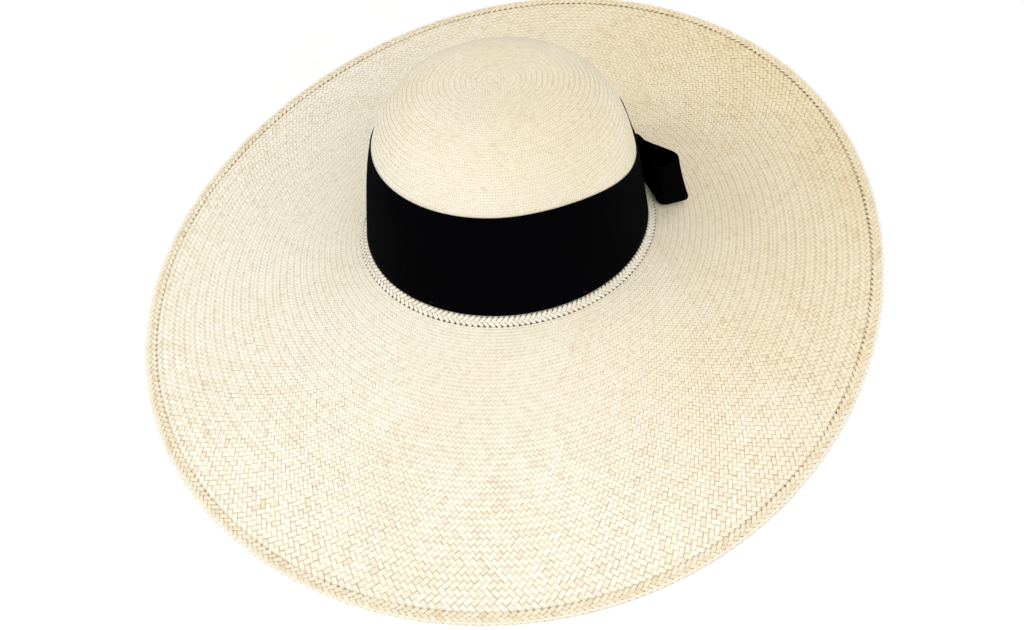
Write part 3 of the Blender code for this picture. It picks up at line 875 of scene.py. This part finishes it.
EDGE_STRAW = straw_material("straw_edge_strand", STRAW_STOPS, (0.86, 0.76, 0.58), 0.6, 0.12,
                            (0.60, 0.50, 0.34))
# Painted shade: the braids' core is coloured dark so that the holes between floats read as
# shadow.
SHADE_CORE_STRAW = straw_material("straw_shaded_core", ((0.0, (0.60, 0.50, 0.30)),
                                                  (1.0, (0.42, 0.33, 0.17))),
                            (0.80, 0.70, 0.52), 0.5, 0.2, (0.6, 0.5, 0.34))


def make_braids():
    base_out = BASE_BRAID_GAP + BASE_BRAID_WIDTH / 2.0 - BASE_FLOATS_BACK
    float_rows("crown_base_floats", "crown_base_braid", brim_at,
               lambda t: 0.0 * t + base_out, BASE_FLOATS, STRAW)
    float_rows("brim_edge_floats", "brim_edge_braid", edge_surface,
               lambda t: brim_reach(t) - EDGE_FLOATS_BACK, EDGE_FLOATS, BRAID)
    edge_strand("brim_edge_strand", back=0.00075, height=0.00115, radii=(0.00075, 0.00095),
                tone=0.25, lobes=60.0)


# Ribbon

def ribbon_sheet(name, middles, outs, thickness, rib, looks, across_width):
    """Add a ribbon, with ribs across it, from arrays of (station, row, xyz)."""
    rows = middles.shape[1]
    s = run_along(middles[:, rows // 2])
    pitch, depth = rib
    ribs = depth * np.cos(tau * s / pitch)[:, None]
    edge = np.minimum(np.arange(rows), np.arange(rows)[::-1])[None, :]
    selvage = np.where(edge == 1, SELVAGE_RISE, 0.0) - np.where(edge == 0, SELVAGE_EDGE, 0.0)
    inside = np.where(edge > 1, ribs, 0.0)
    half = (thickness / 2.0 + inside + selvage)[..., None]
    front = middles + outs * half
    back = middles - outs * half
    ring = np.concatenate([front, back[:, ::-1]], 1)[None]
    level = np.linspace(0.0, across_width, rows)
    across = np.concatenate([level, level[::-1]])[None, None, :]
    return tubes(name, ring, looks, {"run": s[None, :, None], "across": across})


def hatband_top(theta):
    """The upper edge of the hatband, which dips above the bow."""
    pull = np.clip(np.cos(theta - HATBAND_DIP_ANGLE), 0.0, None) ** HATBAND_DIP_POWER
    return HATBAND_TOP - HATBAND_DIP * pull


def band_grid(start, lap, bottom, top, inset, thickness, outward, stations):
    """Middle points of a lapped band, with its out directions.

    outward is 1 for a band outside the crown, whose end laps outwards, and -1 inside.
    """
    turn = tau + lap
    angle = np.linspace(0.0, turn, stations)
    rise = smooth((angle - (tau - LAP_RAMP)) / LAP_RAMP)
    depth = inset - (thickness + GAP) * outward * rise - thickness * outward / 2.0
    theta = (start + angle)[:, None] + np.zeros((1, BAND_ROWS))
    spacing = np.linspace(0.0, 1.0, BAND_ROWS - 2)
    spacing = np.concatenate([[0.0, BAND_SELVAGE], spacing[1:-1], [1.0 - BAND_SELVAGE, 1.0]])
    height = bottom + (top(start + angle) - bottom)[:, None] * spacing[None, :]
    points, beyond = (lean_out(*crown_at(theta, height, depth[:, None] - step))
                      for step in (0.0, OUTWARD_STEP))
    return points, unit(beyond - points)


def make_hatband():
    thickness = HATBAND_THICKNESS - RIBBON_THINNING
    middles, outs = band_grid(BOW_ANGLE - HATBAND_LAP, HATBAND_LAP, HATBAND_BOTTOM, hatband_top,
                              RIBBON_SEAT, thickness, 1.0, HATBAND_STATIONS)
    made = ribbon_sheet("hatband_ribbon", middles, outs, thickness, RIB, RIBBON,
                        HATBAND_TOP - HATBAND_BOTTOM)
    hat_piece(made, "hat", "black_ribbon", "hatband")


def make_sweatband():
    inset = CROWN_WALL + GAP
    middles, outs = band_grid(pi / 2.0, SWEATBAND_LAP, SWEATBAND_BOTTOM,
                              lambda t: SWEATBAND_TOP + 0.0 * t, inset, SWEATBAND_THICKNESS,
                              -1.0, SWEATBAND_STATIONS)
    made = ribbon_sheet("sweatband_cloth", middles, outs, SWEATBAND_THICKNESS - COTTON_THINNING,
                        COTTON_RIB, COTTON, SWEATBAND_TOP - SWEATBAND_BOTTOM)
    hat_piece(made, "hat", "cotton", "sweatband")


def capsule_rings(starts, ends, outs, radius, bulge, stations=7, sides=8):
    """Short rounded stitches, bowed outwards in their middle."""
    t = np.linspace(0.0, 1.0, stations)
    middle = starts[:, None] * (1.0 - t)[None, :, None] + ends[:, None] * t[None, :, None]
    middle = middle + outs[:, None] * (bulge * np.sin(pi * t))[None, :, None]
    ahead = unit(ends - starts)[:, None]
    side = unit(np.cross(ahead, outs[:, None]))
    up = unit(np.cross(side, ahead))
    swell = radius * np.sqrt(np.clip(1.0 - (2.0 * t - 1.0) ** 6, 0.05, 1.0))[None, :, None]
    rings = []
    for turn in turns(sides):
        rings.append(middle + side * swell * cos(turn) + up * swell * sin(turn))
    return np.stack(rings, 2)


def stitch_attributes(rings, length):
    """Places along and round a stitch, for its material."""
    stations, sides = rings.shape[1:3]
    run = np.linspace(0.0, length, stations)[None, :, None]
    around = np.linspace(0.0, 1.0, sides, endpoint=False)[None, None, :]
    return {"run": run, "across": around * tau}


def make_stitching():
    inner = CROWN_WALL + GAP + 2.0 * (SWEATBAND_THICKNESS + GAP) + STITCH_DIAMETER / 2.0
    theta = np.arange(STITCHES) / STITCHES * tau
    length = STITCH_SHARE * tau / STITCHES
    height = STITCH_LINE_HEIGHT + STITCH_DIAMETER / 2.0 + 0.0 * theta
    starts = lean_out(*crown_at(theta, height, inner))
    ends = lean_out(*crown_at(theta + length, height, inner))
    inward = unit(lean_out(*crown_at(theta, height, inner + THREAD_STEP)) - starts)
    rings = capsule_rings(starts, ends, inward, STITCH_DIAMETER / 2.0, STITCH_BULGE)
    made = tubes("sweatband_stitches", rings, COTTON_THREAD, stitch_attributes(rings, 0.0028))
    hat_piece(made, "hat", "cotton_thread", "sweatband_stitching")


def make_tacks():
    inset = -(GAP + HATBAND_THICKNESS + TACK_SEAT)
    half = TACK_HALF_LENGTH / CROWN_HALF_LENGTH
    for name, degrees in TACKS.items():
        theta = np.array([radians(degrees)])
        height = np.array([TACK_HEIGHT])
        starts = lean_out(*crown_at(theta - half, height - TACK_SLOPE, inset))
        ends = lean_out(*crown_at(theta + half, height + TACK_SLOPE, inset))
        outs = unit(lean_out(*crown_at(theta, height, inset - THREAD_STEP)) - starts)
        rings = capsule_rings(starts, ends, outs, TACK_RADIUS, TACK_BULGE)
        made = tubes("ribbon_tack_" + name, rings, BLACK_THREAD,
                     stitch_attributes(rings, 2.0 * TACK_HALF_LENGTH))
        hat_piece(made, "hat", "black_thread", "hatband_tack_" + name)


# Bow

def bow_frame():
    """The bow's own frame: +X to the front along the band, +Y away from the crown."""
    inset = -2.0 * (HATBAND_THICKNESS + GAP)
    spot = [float(value) for value in crown_at(BOW_ANGLE, BOW_HEIGHT, inset)]
    crown = Matrix.Translation(CROWN_BASE) @ Matrix.Rotation(-CROWN_LEAN, 4, "X")
    turn = Matrix.Rotation(BOW_ANGLE - pi / 2.0, 4, "Z") @ Matrix.Rotation(BOW_LEAN, 4, "X")
    return crown @ Matrix.Translation(spot) @ turn


def placed(side, rise, flare):
    """The frame of a loop or tail: its hinge line, tilted up by rise and out by flare."""
    turn = Matrix.Rotation(side * flare, 4, "Z") @ Matrix.Rotation(-side * rise, 4, "Y")
    spot = (side * LOOP_ROOT[0], LOOP_ROOT[1], 0.0)
    return np.array(bow_frame() @ Matrix.Translation(spot) @ turn)


def moved(points, matrix):
    return points @ matrix[:3, :3].T + matrix[:3, 3]


def upright_ribbon(name, low, high, matrix, stations):
    """Add a ribbon between its lower and upper edges, evenly resampled along its middle."""
    length = run_along((low + high) / 2.0)
    even = np.linspace(0.0, length[-1], stations)
    low, high = (np.stack([np.interp(even, length, edge[:, i]) for i in range(3)], -1)
                 for edge in (low, high))
    ahead = np.gradient((low + high) / 2.0, axis=0)
    side = unit(np.stack([-ahead[:, 1], ahead[:, 0], 0.0 * ahead[:, 0]], -1))
    share = np.concatenate([[0.0, BOW_SELVAGE], np.linspace(0.0, 1.0, 9)[1:-1],
                            [1.0 - BOW_SELVAGE, 1.0]])
    cup = RIBBON_CUP * (1.0 - (2.0 * share - 1.0) ** 2)
    local = low[:, None] + (high - low)[:, None] * share[None, :, None]
    local = local + side[:, None] * cup[None, :, None]
    outs = np.broadcast_to(side[:, None], local.shape) @ matrix[:3, :3].T
    wide = float(np.linalg.norm(high - low, axis=1).max())
    return ribbon_sheet(name, moved(local, matrix), outs, RIBBON_THICKNESS - RIBBON_THINNING,
                        BOW_RIB, RIBBON, wide)


def make_loop(name, side, follow, rise, flare):
    """A loop leaves the knot along the hatband, folds outwards and comes back."""
    turn = np.linspace(-1.0, 1.0, LOOP_SAMPLES)
    turn = np.sign(turn) * np.abs(turn) ** LOOP_SQUARENESS
    along = 1.0 - np.abs(turn)
    across = np.sign(turn) * (1.0 - along ** LOOP_SQUARENESS) ** (1.0 / LOOP_SQUARENESS)
    inner = between(LOOP_INNER, along * along)
    outer = between(LOOP_OUTER, along)
    x = LOOP_START + LOOP_LENGTH * along
    y = (inner + outer) / 2.0 + (outer - inner) / 2.0 * across
    share = (across + 1.0) / 2.0 * along
    bottom = between(LOOP_BOTTOM, along) + LOOP_OUTER_RISE * share - follow * y
    corner = smooth((across - LOOP_CORNER_FROM) / (1.0 - LOOP_CORNER_FROM))
    bottom = bottom + LOOP_CORNER * corner * along
    top = bottom + between(LOOP_HEIGHTS, along) + follow * y / 2.0
    low, high = (np.stack([side * (x + splay[0] * share), y - LOOP_ROOT[1] + splay[1] * share,
                           height], -1)
                 for splay, height in ((LOOP_SPLAY_LOW, bottom), (LOOP_SPLAY_HIGH, top)))
    made = upright_ribbon(f"bow_{name}_loop_ribbon", low, high, placed(side, rise, flare),
                          LOOP_STATIONS)
    hat_piece(made, f"{name}_loop", "black_ribbon", f"bow_{name}_loop")


def make_tail(name, side, rise, flare):
    """A ribbon end inside the loop, cut straight."""
    share = np.linspace(0.0, 1.0, TAIL_SAMPLES)[:, None]
    low, high = (np.hstack([side * between(TAIL_ALONG, share), between(TAIL_OUT, share),
                            between(heights, share)]) for heights in (TAIL_BOTTOMS, TAIL_TOPS))
    made = upright_ribbon(f"bow_{name}_tail_ribbon", low, high, placed(side, rise, flare),
                          TAIL_STATIONS)
    hat_piece(made, f"{name}_loop", "black_ribbon", f"bow_{name}_tail")


def make_knot():
    """The bow's centre wrap: a ribbon drawn tight round the roots, with soft pleats."""
    plan, end = KNOT_FULLNESS
    angle = np.linspace(-KNOT_END_ANGLE, KNOT_END_ANGLE, KNOT_ROWS)[:, None]
    turn = (np.arange(KNOT_SIDES) / KNOT_SIDES * tau)[None, :]
    shrink = np.cos(angle) ** end
    height = KNOT_HALF[2] * np.sin(angle) / sin(KNOT_END_ANGLE)
    c = np.cos(turn)
    s = np.sin(turn)
    pleat = 1.0 - PLEAT_DEPTH * np.cos(turn * PLEATS / 2.0) ** 2 * (0.5 + 0.5 * np.abs(s))
    x = KNOT_HALF[0] * np.sign(c) * np.abs(c) ** plan * shrink * pleat
    y = KNOT_HALF[1] * np.sign(s) * np.abs(s) ** plan * shrink * pleat
    local = np.stack([x, y + KNOT_LIFT + GAP, height + 0.0 * turn], -1)
    rings = moved(local, np.array(bow_frame()))[None]
    made = tubes("bow_knot_wrap", rings, RIBBON,
                 {"run": (turn * KNOT_RUN_RADIUS)[None], "across": height[None]})
    hat_piece(made, "hat", "black_ribbon", "bow_knot")


def make_bow():
    make_knot()
    make_loop("front", 1.0, FRONT_FOLLOW, 0.0, 0.0)
    make_loop("rear", -1.0, REAR_FOLLOW, REAR_RISE, REAR_FLARE)
    make_tail("front", 1.0, 0.0, 0.0)
    make_tail("rear", -1.0, REAR_RISE, REAR_FLARE)


def make_label():
    """The blank woven size label, sewn by its folded upper edge."""
    east, north, up = CROWN_AXES
    stations = 60
    rows = 24
    x = np.linspace(-LABEL_WIDTH / 2.0, LABEL_WIDTH / 2.0, stations)[:, None]
    z = np.linspace(0.0, LABEL_LENGTH, rows)[None, :]
    points = (np.array(LABEL_HINGE) + east * x[..., None] - up * z[..., None]
              - north * (LABEL_THICKNESS / 2.0))
    edge = np.minimum(np.arange(rows), np.arange(rows)[::-1])
    fold = np.where(edge < 2, LABEL_FOLD, 0.0)[None, :]
    half = (LABEL_THICKNESS / 2.0 - LABEL_THINNING + fold + 0.0 * x)[..., None]
    ring = np.concatenate([points - north * half, (points + north * half)[:, ::-1]], 1)[None]
    run = (x[:, 0] + LABEL_WIDTH)[None, :, None]
    level = np.concatenate([z[0], z[0][::-1]])[None, None, :]
    made = tubes("size_label_cloth", ring, LABEL, {"run": run, "across": level})
    hat_piece(made, "label", "label_cloth", "size_label")


# Stage

def stage():
    """A pale floor and soft lights."""
    made, tree, shader = new_material("pale_floor", 0.9, 0.1)
    speck = noise(tree, place(tree), 30.0, 3.0)
    tree.links.new(mix(tree, remap(tree, speck, 0.3, 0.7), (0.93, 0.93, 0.93),
                       (0.96, 0.96, 0.96)), shader["Base Color"])
    corners = FLOOR_HALF * np.array([(-1.0, -1.0, 0.0), (1.0, -1.0, 0.0), (1.0, 1.0, 0.0),
                                     (-1.0, 1.0, 0.0)])
    ground = mesh_object("floor", corners, [np.array([[0, 1, 2, 3]])], made, {}, False)
    ground.location.z = -FLOOR_DROP
    world = bpy.data.worlds.new("studio")
    bpy.context.scene.world = world
    world.use_nodes = True
    sky = world.node_tree.nodes["Background"].inputs
    sky["Color"].default_value = (1.0, 1.0, 1.0, 1.0)
    sky["Strength"].default_value = SKY_STRENGTH
    for name, spot, power, width, colour in LIGHTS:
        data = bpy.data.lights.new(name, "AREA")
        data.energy = power
        data.size = width
        data.color = colour
        lamp = bpy.data.objects.new(name, data)
        bpy.context.scene.collection.objects.link(lamp)
        lamp.location = spot
        aim = Vector(LIGHTS_AIM) - lamp.location
        lamp.rotation_euler = aim.to_track_quat("-Z", "Y").to_euler()
    bpy.context.scene.view_settings.view_transform = "Standard"


def camera():
    level = cos(CAMERA_ELEVATION)
    toward = Vector((sin(CAMERA_AZIMUTH) * level, -cos(CAMERA_AZIMUTH) * level,
                     sin(CAMERA_ELEVATION)))
    right = (-toward).cross(Vector((0.0, 0.0, 1.0))).normalized()
    up = right.cross(-toward)
    c = cos(CAMERA_ROLL)
    s = sin(CAMERA_ROLL)
    x_axis = right * c + up * s
    y_axis = up * c - right * s
    spot = toward * CAMERA_DISTANCE + x_axis * CAMERA_RIGHT + y_axis * CAMERA_UP
    spot = spot + Vector((0.0, CROWN_BASE[1], 0.0))
    data = bpy.data.cameras.new("camera")
    data.lens = CAMERA_LENS
    data.clip_end = 50.0
    made = bpy.data.objects.new("camera", data)
    bpy.context.scene.collection.objects.link(made)
    turn = Matrix((x_axis, y_axis, toward)).transposed().to_4x4()
    made.matrix_world = Matrix.Translation(spot) @ turn
    bpy.context.scene.camera = made


camera()
weave_brim()
weave_crown()
weave_button()
make_braids()
make_hatband()
make_sweatband()
make_stitching()
make_tacks()
make_bow()
make_label()
stage()
